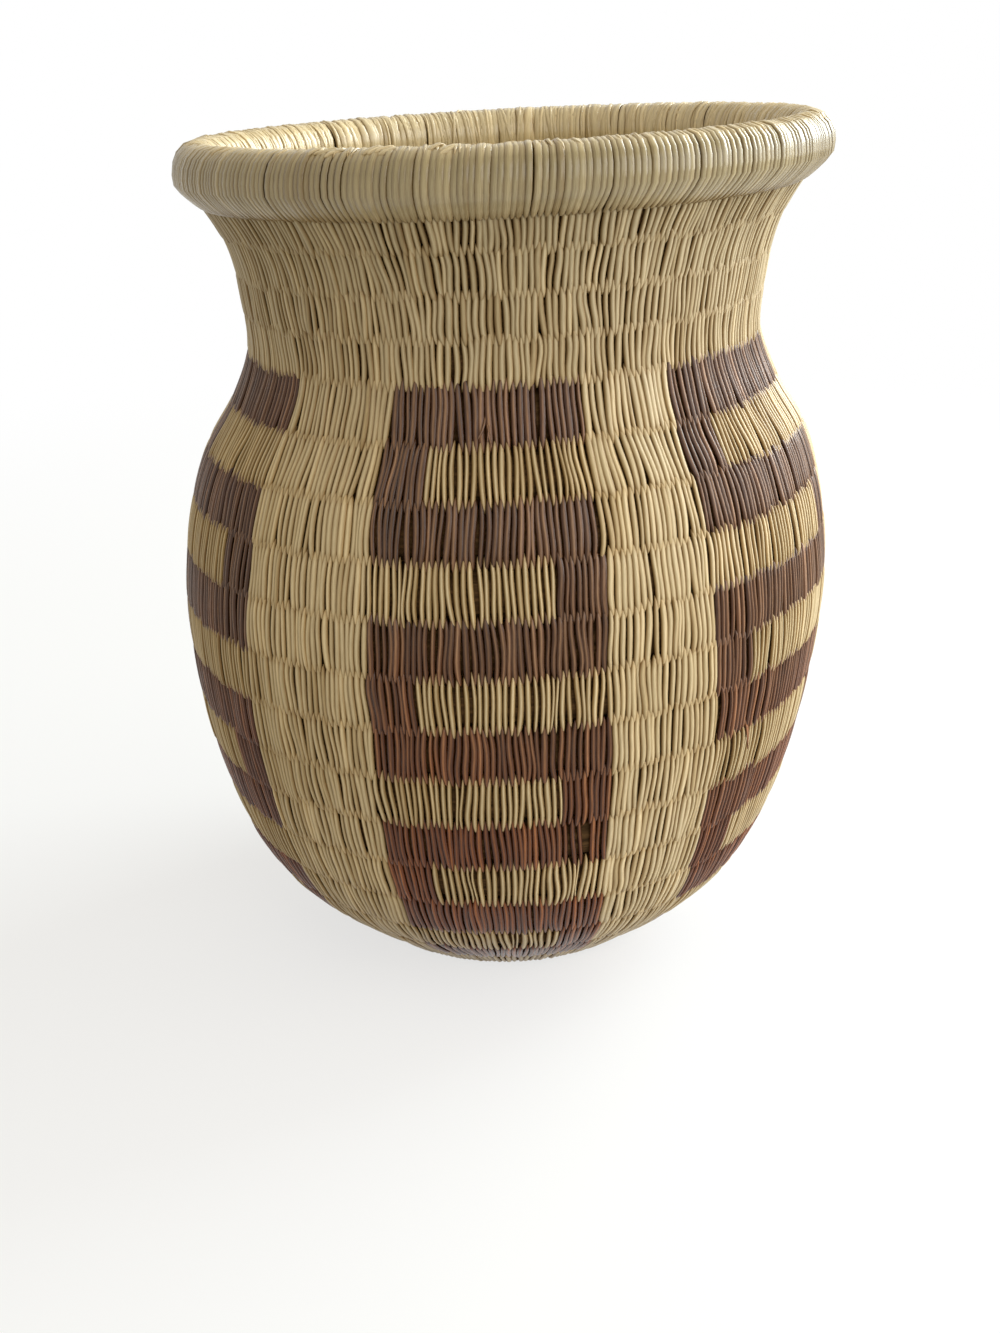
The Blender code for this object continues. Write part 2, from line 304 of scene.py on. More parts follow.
def leaning(angle, flat):
    """Points of the vase at (radius, height) pairs. The lean grows from nothing at the
    floor to its full share."""
    radius, height = flat[..., 0], flat[..., 1]
    x = radius * np.sin(angle)
    lean = LEAN_SHARE * smoothed(clipped(height, 0.0, BELLY_HEIGHT))
    return np.stack([x, -radius * np.cos(angle), height + lean * x], axis=-1)


def turned_out(angle, flat):
    """A direction (out, up) of the section as a direction in space at this angle."""
    out, up = flat[..., 0], flat[..., 1]
    return np.stack([out * np.sin(angle), -out * np.cos(angle), up], axis=-1)


def edge_run(row):
    """The run along the wall at the lower edge of a row."""
    return np.interp(row, EDGE_ROWS, EDGES)


def climbed(turn):
    """How much of a row the spiral has climbed at this angle past the climb's end."""
    return clipped(turn, math.tau - CLIMB_ANGLE, math.tau)


class Tubes:
    """Closed tubes as one mesh: rings of points, shaped (tubes, rings, points, 3)."""

    def __init__(self, rings, looped=False, **traits):
        self.rings = rings
        self.looped = looped
        self.traits = traits

    def at_points(self, trait):
        """A trait's values at every point."""
        values = self.traits[trait]
        return np.broadcast_to(values, self.rings.shape[:3] + values.shape[3:])

    def quads(self):
        """The faces, as numbers of points, with both ends closed unless it is looped."""
        tubes, rings, points, _ = self.rings.shape
        number = np.arange(tubes * rings * points).reshape(tubes, rings, points)
        beside = np.roll(number, -1, axis=2)
        ahead, ahead_beside = np.roll(number, -1, axis=1), np.roll(beside, -1, axis=1)
        sides = np.stack([number, beside, ahead_beside, ahead], axis=-1)
        if self.looped:
            return sides.reshape(-1, 4)
        caps = []
        for k in range(1, points - 2, 2):
            first = number[:, 0, [0, k + 2, k + 1, k]]
            last = number[:, -1, [0, k, k + 1, k + 2]]
            caps += [first, last]
        return np.concatenate([sides[:, :-1].reshape(-1, 4), *caps])


def mesh_object(name, tubes, material):
    """A smooth mesh object of some tubes, with their traits as point attributes."""
    quads = tubes.quads()
    points = tubes.rings.reshape(-1, 3)
    mesh = bpy.data.meshes.new(name)
    mesh.vertices.add(len(points))
    mesh.vertices.foreach_set("co", points.astype(np.float32).ravel())
    mesh.loops.add(quads.size)
    mesh.loops.foreach_set("vertex_index", quads.astype(np.int32).ravel())
    mesh.polygons.add(len(quads))
    mesh.polygons.foreach_set("loop_start", np.arange(0, quads.size, 4, dtype=np.int32))
    mesh.update(calc_edges=True)
    mesh.shade_smooth()
    for trait in tubes.traits:
        values = tubes.at_points(trait)
        kind, field = ("FLOAT_VECTOR", "vector") if values.ndim == 4 else ("FLOAT", "value")
        made = mesh.attributes.new(trait, kind, "POINT")
        made.data.foreach_set(field, values.astype(np.float32).ravel())
    mesh.materials.append(material)
    piece = bpy.data.objects.new(name, mesh)
    bpy.context.collection.objects.link(piece)
    return piece


def add_piece(name, tubes, material, slot, *nodes):
    """A piece of the vase. It stands for these nodes of the frame, if any are given."""
    piece = mesh_object(name, tubes, material)
    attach(piece, "root")
    if nodes:
        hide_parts(*nodes)


def joined(parts):
    """Several lots of tubes with rings of the same shape, as one."""
    traits = {
        trait: np.concatenate([part.at_points(trait) for part in parts])
        for trait in parts[0].traits
    }
    return Tubes(np.concatenate([part.rings for part in parts]), **traits)


def chosen(tubes, which):
    """Only some of the tubes."""
    traits = {trait: tubes.at_points(trait)[which] for trait in tubes.traits}
    return Tubes(tubes.rings[which], **traits)


def tapered(near_end, power):
    """The share of a strand's width that is left this near to its end."""
    return 1 - TIP_NARROWING * near_end**power


def strand_tubes(centres, out, half_width, half_height, tone, tip, painted_light, flat):
    """Ridged strands along centre lines, shaped (strands, rings, 3).

    tone is one number for each strand, and tip tells how near its end a ring lies. The share
    after tip is painted light, inside the vase and on the rim's crest: it lifts the strand
    out of the painted shade towards the lip and takes a quarter off the painted shade down
    its sides.
    A flat strand has an oval section and less painted shade down its sides.
    """
    half_width = np.broadcast_to(half_width, centres.shape[:2])
    half_height = np.broadcast_to(half_height, centres.shape[:2])
    along = unit(np.gradient(centres, axis=1))
    out = unit(out - (out * along).sum(axis=-1, keepdims=True) * along)
    across = np.cross(out, along)
    around = math.tau * np.arange(STRAND_SIDES) / STRAND_SIDES
    side = half_width[..., None, None] * across[:, :, None, :]
    lift = half_height[..., None, None] * out[:, :, None, :]
    cos, sin = np.cos(around)[:, None], np.sin(around)[:, None]
    sharp = np.broadcast_to(RIDGE_SHARPNESS * (1 - flat) + flat, len(centres))
    ridge = np.sign(sin) * np.abs(sin) ** sharp[:, None, None, None]
    rings = centres[:, :, None, :] + side * cos + lift * ridge
    grain = np.empty(rings.shape)
    grain[..., 0] = half_width.max() * np.cos(around)
    grain[..., 1] = walked(centres)[:, :, None]
    grain[..., 2] = tone[:, None, None]
    tip = np.broadcast_to(tip, centres.shape[:2])[:, :, None]
    painted_light = np.broadcast_to(painted_light, centres.shape[:2])[:, :, None]
    flat = np.broadcast_to(flat, len(centres))[:, None, None]
    # Painted shade down each strand's sides, for the shade between neighbouring strands; flat
    # strands and strands with painted light get less of it.
    painted_shade = np.abs(np.cos(around)) * (1 - 0.4 * flat) * (1 - 0.25 * painted_light)
    return Tubes(
        rings, tone=tone[:, None, None], tip=tip, grain=grain, painted_shade=painted_shade, painted_light=painted_light
    )


def spread(heads, count):
    """Feet of count stitches in the gaps between the heads below, as even as they allow."""
    edges = np.append(heads, heads[0] + math.tau)
    shares = np.diff(np.floor((edges - heads[0]) * count / math.tau + 0.5)).astype(int)
    feet = []
    for start, end, share in zip(edges, edges[1:], shares):
        feet += [start + (end - start) * (k + 1) / (share + 1) for k in range(share)]
    return np.array(feet)


def evened(angles, rounds):
    """Angles round the vase with the distances between neighbours evened out."""
    for _ in range(rounds):
        ahead = np.append(angles[1:], angles[0] + math.tau)
        behind = np.append(angles[-1] - math.tau, angles[:-1])
        angles = angles / 2 + (ahead + behind) / 4
    return angles


def alike(values):
    """Random numbers in a row drawn towards their neighbours, with their spread kept."""
    for _ in range(2):
        beside = np.roll(values, 1, axis=-1) + np.roll(values, -1, axis=-1)
        values = values / 2 + beside / 4
    return values * 1.9


def sewn_rows(stitches):
    """For each row, the angles past the climb's end of its stitches' feet, middles and
    heads. Each foot goes between two heads of the row below."""
    rng = np.random.default_rng(stitches.seed)
    heads = math.tau * np.arange(FIRST_HEADS) / FIRST_HEADS
    rows = []
    for row in range(ALL_ROWS):
        radius = section(edge_run(row + 0.5), 0.0)[0]
        pitch = stitches.neck_pitch if row >= NECK_ROW else stitches.body_pitch
        count = round(math.tau * radius / pitch)
        spacing = math.tau / count
        feet = spread(heads, count)
        even = evened(feet, 6)
        wave = rng.uniform(0, math.tau, 3)
        turns = even[:, None] * np.array([3, 5, 11]) + wave
        slant = stitches.slant + stitches.slant_wave * np.sin(turns).mean(axis=1)
        stray = alike(rng.normal(0, stitches.unevenness, (2, count)))
        stray += rng.normal(0, stitches.unevenness * 0.45, (2, count))
        stray = stray.clip(-MOST_STRAY, MOST_STRAY) * spacing
        middles = even - slant / 2 / radius + stray[0]
        heads = even - slant / radius
        rows.append((feet, middles, heads + stray[1] * 0.6))
    return rows


def stitch_lines(row, angles, stitches, rng, inside, t):
    """Each stitch's line through its foot, middle and head, at shares t of its length, as
    angles, (radius, height) pairs and directions into the wall."""
    feet, middles, heads = angles
    count = len(feet)
    bow = alike(rng.normal(0, stitches.bow * 0.7, count))[:, None] * np.sin(math.pi * t)
    bow += alike(rng.normal(0, stitches.bow * 0.6, count))[:, None] * np.sin(math.tau * t)
    turn = (
        feet[:, None] * (1 - t) * (1 - 2 * t)
        + middles[:, None] * 4 * t * (1 - t)
        + heads[:, None] * t * (2 * t - 1)
    )
    low, high = stitch_reach(row, middles)
    tuck_low, tuck_high = rng.uniform(0.7, 1.25, (2, count)) * stitches.tip_overlap
    start, end = low - tuck_low, high + tuck_high
    run = start[:, None] + (end - start)[:, None] * t
    near_end = np.abs(2 * t - 1)
    lift = rng.normal(0, LIFT_SPREAD, count)[:, None]
    crest = stitches.strand_height / 2 + (lift if row >= BASE_ROWS else np.abs(lift))
    bulge = stitches.row_bulge * near_end**2
    depth = crest + bulge + (stitches.tuck_depth - crest - bulge) * near_end**9
    if inside:
        depth = WALL_THICKNESS - depth
    flat = section(run, depth)
    angle = turn + CLIMB_END + bow / np.maximum(flat[..., 0], 0.001)
    return angle, flat, inward_at(run)


def stitch_reach(row, middles):
    """The runs along the wall from which and to which each stitch of a row goes."""
    low = edge_run(row + climbed(middles))
    return low, edge_run(np.minimum(row + 1 + climbed(middles), ALL_ROWS))


def stitch_widths(middles, radius, tight, stitches, rng, near_end):
    """Half the width of each stitch along its line, in the room that its neighbours leave."""
    ahead = np.diff(middles, append=middles[0] + math.tau)
    behind = np.diff(middles, prepend=middles[-1] - math.tau)
    taper = (1 - 0.12 * near_end**2) * tapered(near_end, 8)
    wide = stitches.strand_width / 2 * rng.normal(1.0, 0.13, len(middles)).clip(0.68, 1.3)
    wide *= 1 + 0.24 * tight
    closest = np.minimum(ahead, behind)
    most = 0.56 * closest * (1 - tight) + 0.36 * (ahead + behind) * tight
    return np.minimum(wide[:, None], most[:, None] * np.maximum(radius, 0.001)) * taper


def row_strands(row, angles, stitches, rng, inside, rings):
    """The outer or inner half of each stitch in a row. Returns the strands and the angle
    of the middle of each."""
    t = crowded(rings)
    near_end = np.abs(2 * t - 1)
    angle, flat, inward = stitch_lines(row, angles, stitches, rng, inside, t)
    middles = angles[1]
    tight = tightness(row, middles + CLIMB_END)
    half_width = stitch_widths(middles, flat[..., 0], tight, stitches, rng, near_end)
    half_height = np.minimum(stitches.strand_height / 2, half_width * 1.1 + 0.00005)
    # Inner strands take painted light.
    tubes = strand_tubes(
        leaning(angle, flat), turned_out(angle, inward) * (1 if inside else -1), half_width,
        half_height, rng.uniform(0, 1, len(middles)), near_end, float(inside), 0.65 * tight,
    )
    low, high = stitch_reach(row, middles)
    keep = (high - low) > 0.4 * (edge_run(row + 1) - edge_run(row))
    return chosen(tubes, keep), (middles + CLIMB_END)[keep]


def band_edges(row):
    """The angles of each band's left and right edge in a row of the body."""
    down = (NECK_ROW - 1 - row) / (BODY_ROWS - 1)
    wander = np.radians(np.array(BAND_WANDER))
    left = BAND_START + BAND_SPACING * np.arange(BANDS)
    left_now = left + wander[:, 0] + (wander[:, 1] - wander[:, 0]) * down**1.8
    right_now = left + BAND_WIDTH + wander[:, 2] + (wander[:, 3] - wander[:, 2]) * down**1.8
    return left_now, right_now


def tightness(row, angles):
    """How close to its neighbours each stitch lies: least for the cream in a band."""
    if not BASE_ROWS <= row < NECK_ROW:
        return np.full(len(angles), NECK_TIGHTNESS)
    left, right = band_edges(row)
    past = (angles[:, None] - left) % math.tau
    in_band = (past < right - left).any(axis=1)
    is_brown = sorted_by_colour(row, angles)[0]
    cream_tightness = np.where(in_band, BAND_CREAM_TIGHTNESS, FIELD_TIGHTNESS)
    return np.where(is_brown, BROWN_TIGHTNESS, cream_tightness)


def sorted_by_colour(row, angles):
    """For the stitches of a row of the body, whether each is brown, and the number of the
    band, or of the cream field to a band's right, that it belongs to. Where the spiral
    has climbed, the pattern is that of the row which starts beside it."""
    from_top = NECK_ROW - row - (climbed(angles - CLIMB_END) > 0.5)
    whole = from_top % 2 == 1
    at_left = from_top // 2 % 2 == 1
    is_brown = np.zeros(len(angles), bool)
    place = np.full(len(angles), -1)
    left, right = band_edges(row)
    for band in range(BANDS):
        past_left = (angles - left[band]) % math.tau
        width = right[band] - left[band]
        within = past_left < width
        linked = np.where(at_left, past_left < LINK_WIDTH, past_left > width - LINK_WIDTH)
        is_brown |= within & (whole | linked)
        following = left[(band + 1) % BANDS] + (math.tau if band == BANDS - 1 else 0)
        field = past_left < following - left[band]
        place[field] = band
        notch = within & ~(whole | linked | at_left)
        place[notch] = (band - 1) % BANDS
    return is_brown, place


def shader_nodes(name, gloss, roughness=0.5):
    """A new node material, its tree and its shader."""
    made = bpy.data.materials.new(name)
    made.use_nodes = True
    shader = made.node_tree.nodes["Principled BSDF"]
    shader.inputs["Specular IOR Level"].default_value = gloss
    shader.inputs["Roughness"].default_value = roughness
    return made, made.node_tree, shader


def node(tree, kind, settings=None, **inputs):
    """A node with these settings, whose inputs take values or other nodes' outputs."""
    made = tree.nodes.new(kind)
    for key, value in (settings or {}).items():
        setattr(made, key, value)
    for key, value in inputs.items():
        socket = made.inputs[int(key[1:]) if key[0] == "i" and key[1:].isdigit() else key]
        if isinstance(value, bpy.types.NodeSocket):
            tree.links.new(value, socket)
        else:
            socket.default_value = value
    return made


def ramp(tree, factor, *stops):
    """A colour ramp's colour output, through (place, colour) stops."""
    made = node(tree, "ShaderNodeValToRGB", i0=factor)
    elements = made.color_ramp.elements
    while len(elements) < len(stops):
        elements.new(0.5)
    for element, (place, colour) in zip(elements, stops):
        element.position = place
        element.color = (*colour[:3], 1.0)
    return made.outputs["Color"]


def trait(tree, name, output="Fac"):
    """A trait that the meshes carry at each point."""
    return node(tree, "ShaderNodeAttribute", {"attribute_name": name}).outputs[output]


def mixed(tree, kind, factor, first, second):
    """Two colours blended in this way, by a factor."""
    settings = {"data_type": "RGBA", "blend_type": kind}
    return node(tree, "ShaderNodeMix", settings, i0=factor, i6=first, i7=second).outputs[2]


def ranged(tree, value, low, high, start=0.0, end=1.0):
    """A value's way from low to high, mapped to the way from start to end."""
    kind = "ShaderNodeMapRange"
    return node(tree, kind, None, i0=value, i1=low, i2=high, i3=start, i4=end).outputs[0]


def maths(tree, operation, first, second, *third, clamp=False):
    """The result of one operation on numbers."""
    settings = {"operation": operation, "use_clamp": clamp}
    inputs = {f"i{place}": value for place, value in enumerate((first, second, *third))}
    return node(tree, "ShaderNodeMath", settings, **inputs).outputs[0]


def noise(tree, place, scale, detail):
    """A noise texture's value at a place."""
    kind = "ShaderNodeTexNoise"
    return node(tree, kind, None, Vector=place, Scale=scale, Detail=detail).outputs["Fac"]


def fibre_noise(tree, stretch, detail=4.0):
    """Streaks that run along each strand and differ from one strand to the next."""
    grain, settings = trait(tree, "grain", "Vector"), {"operation": "MULTIPLY"}
    place = node(tree, "ShaderNodeVectorMath", settings, i0=grain, i1=stretch).outputs[0]
    return noise(tree, place, 1.0, detail)


def drift_noise(tree, scale):
    """Slow changes over the whole vase."""
    return noise(tree, node(tree, "ShaderNodeTexCoord").outputs["Object"], scale, 3.0)


def height_share(tree, low, high):
    """How far up between two heights a point lies, from zero to one."""
    where = node(tree, "ShaderNodeTexCoord").outputs["Object"]
    height = node(tree, "ShaderNodeSeparateXYZ", None, i0=where).outputs["Z"]
    return ranged(tree, height, low, high)


def painted_flank_shade(tree, tint, start, end):
    """Painted shade down a strand's sides, where shade falls between neighbouring strands:
    white on its ridge, and this tint down its sides.
    """
    return ramp(tree, trait(tree, "painted_shade"), (start, WHITE), (end, tint))


def finish_surface(tree, shader, colour, streaks, strength, depth):
    """Gives the shader its colour, and a slight relief from the streaks."""
    bump = node(
        tree, "ShaderNodeBump", None, Strength=strength, Distance=depth, Height=streaks
    )
    tree.links.new(bump.outputs[0], shader.inputs["Normal"])
    tree.links.new(colour, shader.inputs["Base Color"])


def roughen(tree, shader, streaks, smooth, rough):
    """Lets the roughness follow the streaks."""
    found = ranged(tree, streaks, 0.3, 0.7, smooth, rough)
    tree.links.new(found, shader.inputs["Roughness"])


def strand_material(name, colours, roughness, gloss):
    """Split palm leaf: a tone for each strand, fine streaks, and darker tips, with painted
    shade towards the lip and down each strand's sides, and painted light inside the vase and
    on the rim's crest.

    colours are the palest, the usual and the darkest strand, and the tips' tint, which is
    partly dirt and partly painted shade where the tips tuck under other stitches.
    """
    made, tree, shader = shader_nodes(name, gloss)
    pale, usual, dark, tint = colours
    tones = ramp(
        tree, trait(tree, "tone"), (0.0, dark), (0.25, usual), (0.7, usual), (1.0, pale)
    )
    streaks = fibre_noise(tree, (5200.0, 260.0, 900.0))
    streaked = mixed(tree, "MULTIPLY", 0.55, tones, ramp(
        tree, streaks, (0.3, (0.62, 0.58, 0.52)), (0.62, WHITE)
    ))
    slow = ramp(tree, drift_noise(tree, 16.0), (0.35, (0.84, 0.80, 0.70)), (0.65, WHITE))
    # Painted shade: the colour darkens from the shoulder up to the lip, standing in for the
    # shade on the neck and the rim.
    painted_lip_shade = ramp(
        tree, height_share(tree, 0.150, 0.225), (0.0, WHITE),
        (0.4, (0.88, 0.89, 0.92)), (0.8, (0.76, 0.77, 0.77)), (1.0, (0.37, 0.355, 0.245)),
    )
    # Painted light: inside the vase and on the rim's crest, a near-white tint takes the place
    # of the painted shade towards the lip.
    painted_shade_and_light = mixed(tree, "MIX", trait(tree, "painted_light"), painted_lip_shade, (0.96, 0.97, 0.94, 1.0))
    drifted = mixed(tree, "MULTIPLY", 1.0, mixed(tree, "MULTIPLY", 0.6, streaked, slow), painted_shade_and_light)
    # Darker tips: partly dirt, partly painted shade where they tuck under other stitches
    ends = ranged(tree, trait(tree, "tip"), 0.62, 1.0)
    ended = mixed(tree, "MULTIPLY", ends, drifted, (*tint, 1.0))
    # Painted shade down the sides of each strand
    colour = mixed(tree, "MULTIPLY", 1.0, ended, painted_flank_shade(tree, (0.46, 0.36, 0.23), 0.10, 0.72))
    roughen(tree, shader, streaks, roughness - 0.04, roughness + 0.12)
    finish_surface(tree, shader, colour, streaks, 0.15, 0.0001)
    return made


def brown_material(colours):
    """Dyed palm leaf: greyish purple brown above, turning rusty towards the foot."""
    made, tree, shader = shader_nodes("brown_palm", 0.32)
    upward = height_share(tree, 0.045, 0.120)
    wander = maths(tree, "MULTIPLY_ADD", drift_noise(tree, 30.0), 0.8, -0.4)
    share = maths(tree, "ADD", upward, wander, clamp=True)
    base = mixed(tree, "MIX", share, (*colours.rust, 1.0), (*colours.brown, 1.0))
    tones = ramp(
        tree, trait(tree, "tone"),
        (0.0, (1.05, 1.05, 1.05)), (0.4, (1.45, 1.5, 1.6)), (0.75, (1.75, 1.9, 2.1)),
        (1.0, (2.6, 2.9, 3.4)),
    )
    toned = mixed(tree, "MULTIPLY", 1.0, base, tones)
    streaks = fibre_noise(tree, (5200.0, 240.0, 900.0))
    streaked = mixed(tree, "MULTIPLY", 0.7, toned, ramp(
        tree, streaks, (0.3, (0.55, 0.5, 0.48)), (0.65, (1.25, 1.2, 1.2))
    ))
    # Painted shade down the sides of each brown strand, which leaves its ridge lighter
    sides = painted_flank_shade(tree, (0.30, 0.22, 0.16), 0.0, 0.42)
    ridged = mixed(tree, "MULTIPLY", 1.0, streaked, sides)
    # Darker tips: partly dirt, partly painted shade where they tuck under other stitches
    ends = ranged(tree, trait(tree, "tip"), 0.7, 1.0)
    colour = mixed(tree, "MULTIPLY", ends, ridged, (0.7, 0.62, 0.55, 1.0))
    roughen(tree, shader, streaks, 0.22, 0.36)
    finish_surface(tree, shader, colour, streaks, 0.25, 0.0001)
    return made


def grass_material(colours):
    """Dry grass stems, lying round the vase, in a dark colour that is partly their own and
    partly painted shade for the gaps between stitches.
    """
    made, tree, shader = shader_nodes("grass_stems", 0.1, 0.85)
    streaks = fibre_noise(tree, (2600.0, 90.0, 1.0), 5.0)
    pale = tuple(min(1.0, c * 1.7) for c in colours.grass)
    deep = tuple(c * 0.45 for c in colours.grass)
    colour = ramp(tree, streaks, (0.3, deep), (0.52, colours.grass), (0.7, pale))
    finish_surface(tree, shader, colour, streaks, 0.5, 0.0003)
    return made


def kept_material(name, maker, *details):
    """The material of this name, made once."""
    return bpy.data.materials.get(name) or maker(*details)


def cream(colours, name="cream_palm", roughness=0.36, gloss=0.28):
    """Undyed palm leaf."""
    palest = tuple(min(1.0, c * 1.24) for c in colours.cream)
    dark = tuple(c * s for c, s in zip(colours.cream, (0.80, 0.74, 0.64)))
    looks = palest, tuple(colours.cream), dark, (0.72, 0.62, 0.48)
    return kept_material(name, strand_material, name, looks, roughness, gloss)


def rim_cream(colours):
    """Undyed palm leaf, smoother and glossier than the body's."""
    return cream(colours, "rim_palm", 0.23, 0.52)


def brown(colours):
    """Dyed palm leaf."""
    return kept_material("brown_palm", brown_material, colours)


def grass(colours):
    """Dry grass."""
    return kept_material("grass_stems", grass_material, colours)


def add_strands(name, lots, word, colours, *nodes):
    """A piece of brown or of cream strands."""
    material = brown(colours) if word == "brown" else cream(colours)
    add_piece(name, joined(lots), material, f"{word}_strand", *nodes)


class StitchSettings(bpy.types.PropertyGroup):
    """How the strands are sewn"""

    body_pitch: FloatProperty(
        name="Body pitch", description="Distance between stitches on the body and base",
        default=0.00156, min=0.001, max=0.004, precision=5, unit="LENGTH",
    )
    neck_pitch: FloatProperty(
        name="Neck pitch", description="Distance between stitches on the neck",
        default=0.00152, min=0.001, max=0.004, precision=5, unit="LENGTH",
    )
    rim_pitch: FloatProperty(
        name="Rim pitch", description="Distance between stitches over the rolled rim",
        default=0.00151, min=0.0008, max=0.004, precision=5, unit="LENGTH",
    )
    strand_width: FloatProperty(
        name="Strand width", description="Width of a strand across the wall",
        default=0.00142, min=0.0005, max=0.003, precision=5, unit="LENGTH",
    )
    strand_height: FloatProperty(
        name="Strand height", description="Thickness of a strand, square to the wall",
        default=0.00112, min=0.0003, max=0.002, precision=5, unit="LENGTH",
    )
    row_bulge: FloatProperty(
        name="Row bulge", description="How far the middle of each row stands proud",
        default=0.00015, min=0.0, max=0.001, precision=5, unit="LENGTH",
    )
    tip_overlap: FloatProperty(
        name="Tip overlap", description="How far a stitch's ends reach into the next rows",
        default=0.00175, min=0.0, max=0.003, precision=5, unit="LENGTH",
    )
    tuck_depth: FloatProperty(
        name="Tuck depth", description="How deep in the wall a stitch's ends lie",
        default=0.00125, min=0.0005, max=0.003, precision=5, unit="LENGTH",
    )
    slant: FloatProperty(
        name="Slant", description="How far a stitch's head lies to the left of its foot",
        default=0.00045, min=-0.002, max=0.002, precision=5, unit="LENGTH",
    )
    slant_wave: FloatProperty(
        name="Slant wave", description="How much the slant changes round a row",
        default=0.0011, min=0.0, max=0.003, precision=5, unit="LENGTH",
    )
    bow: FloatProperty(
        name="Bow", description="How much a stitch bends sideways in its middle",
        default=0.00024, min=0.0, max=0.0005, precision=5, unit="LENGTH",
    )
    unevenness: FloatProperty(
        name="Unevenness", description="How far stitches wander, as a share of the pitch",
        default=0.19, min=0.0, max=0.4, subtype="FACTOR",
    )
    seed: IntProperty(
        name="Seed", description="Changes the sewing's small irregularities", default=7,
    )


class ColourSettings(bpy.types.PropertyGroup):
    """The colours of strands and grass"""

    cream: FloatVectorProperty(
        name="Cream", description="Undyed palm strand", subtype="COLOR",
        default=(0.74, 0.605, 0.385), min=0.0, max=1.0,
    )
    brown: FloatVectorProperty(
        name="Brown", description="Dyed palm strand in the upper rows", subtype="COLOR",
        default=(0.165, 0.088, 0.042), min=0.0, max=1.0,
    )
    rust: FloatVectorProperty(
        name="Rust", description="Dyed palm strand in the lowest rows", subtype="COLOR",
        default=(0.19, 0.057, 0.010), min=0.0, max=1.0,
    )
    # The grass colour is partly the grass's own and partly painted shade, set dark for the
    # gaps between stitches.
    grass: FloatVectorProperty(
        name="Grass", description="Dry grass of the bundle", subtype="COLOR",
        default=(0.085, 0.045, 0.018), min=0.0, max=1.0,
    )


class StageSettings(bpy.types.PropertyGroup):
    """The floor and the light"""

    floor: FloatVectorProperty(
        name="Floor", description="Colour of the floor", subtype="COLOR",
        default=(0.45, 0.44, 0.42), min=0.0, max=1.0,
    )
    window: FloatProperty(
        name="Window light", description="Power of the right lamp, which the others follow",
        default=9.6, min=0.0, unit="POWER",
    )
    room: FloatProperty(
        name="Room light", description="Strength of the even light from all sides",
        default=0.54, min=0.0,
    )


class VaseOperator:
    """What the operators that make pieces share. Each draws random numbers of its own."""

    bl_options = {"REGISTER", "UNDO"}
    draws = 0

    def start(self, context):
        """The settings, and the random numbers."""
        stitches = context.scene.vase_stitches
        rng = np.random.default_rng(stitches.seed + self.draws)
        return stitches, context.scene.vase_colours, rng


class VASE_OT_bundle(VaseOperator, bpy.types.Operator):
    """Lays the grass bundle, row by row, as ridged tubes of stems"""

    bl_idname = "vase.bundle"
    bl_label = "Grass bundle"
    draws = 1

    def execute(self, context):
        _, colours, rng = self.start(context)
        material = grass(colours)
        for row, name in enumerate(BUNDLE_NAMES):
            add_piece(f"{name}_stems", bundle_tube(row, rng), material, "grass_bundle", name)
        add_piece("rim_stems", rim_bundle_tube(rng), material, "grass_bundle", "rim_bundle")
        add_piece("start_knot_stems", knot_tube(rng), material, "grass_bundle", "start_knot")
        return {"FINISHED"}


def stem_section(points, rng):
    """A bundle's outline of radius one, ridged by its stems, with 3 points to a stem."""
    around = math.tau * np.arange(points) / points
    ridges = np.where(np.arange(points) % 3 == 0, STEM_GROOVE, 1.0)
    return around, ridges * rng.normal(1.0, STEM_UNEVENNESS, points)


def stem_tube(turn, flat, around, along, offset=0.0, looped=False):
    """A bundle as one tube, with the places across and along it that its streaks follow."""
    rings = leaning(turn, flat)[None]
    grain = np.empty(rings.shape)
    grain[..., 0] = STEM_SPREAD * np.cos(around)
    grain[..., 1] = along
    grain[..., 2] = STEM_SPREAD * np.sin(around) + offset
    return Tubes(rings, looped=looped, grain=grain)


def bundle_tube(row, rng):
    """One turn of the bundle, an oval tube that climbs to the next row at the back."""
    around, ridges = stem_section(STEM_POINTS, rng)
    turn = np.linspace(0, math.tau, BUNDLE_RINGS)[:, None]
    middle = row + 0.5 + climbed(turn)
    low = edge_run(np.minimum(middle - 0.5, ALL_ROWS - 0.3))
    high = edge_run(np.minimum(middle + 0.5, ALL_ROWS))
    half = (high - low) / 2 - BUNDLE_GAP
    wobble = 1 + 0.06 * np.sin(17 * turn + around * 3 + row) * np.sin(29 * turn + row)
    run = (low + high) / 2 + half * ridges * np.cos(around)
    depth = BUNDLE_DEPTH - BUNDLE_HALF_DEPTH * ridges * wobble * np.sin(around)
    flat = section(run, depth)
    return stem_tube(turn + CLIMB_END, flat, around, turn * 0.08, row * 0.02)


def rim_middle():
    """The (radius, height) of the middle of the rolled rim's section."""
    radius, height = section(RUNS[-1], WALL_THICKNESS / 2)
    out, up = unit(DIRECTIONS[-1])
    rise = math.hypot(RIM_ACROSS * out, RIM_UP * up) + RIM_GAP
    return radius + rise * out, height + rise * up


def rim_bundle_tube(rng):
    """The thick bundle in the rolled rim."""
    around, ridges = stem_section(STEM_POINTS, rng)
    radius, height = rim_middle()
    turn = (math.tau * np.arange(RIM_BUNDLE_RINGS) / RIM_BUNDLE_RINGS)[:, None]
    out = radius - RIM_ACROSS * ridges * np.cos(around)
    up = height + RIM_UP * ridges * np.sin(around)
    flat = np.stack([out, up], axis=-1)
    return stem_tube(turn, flat, around, turn * 0.08, looped=True)


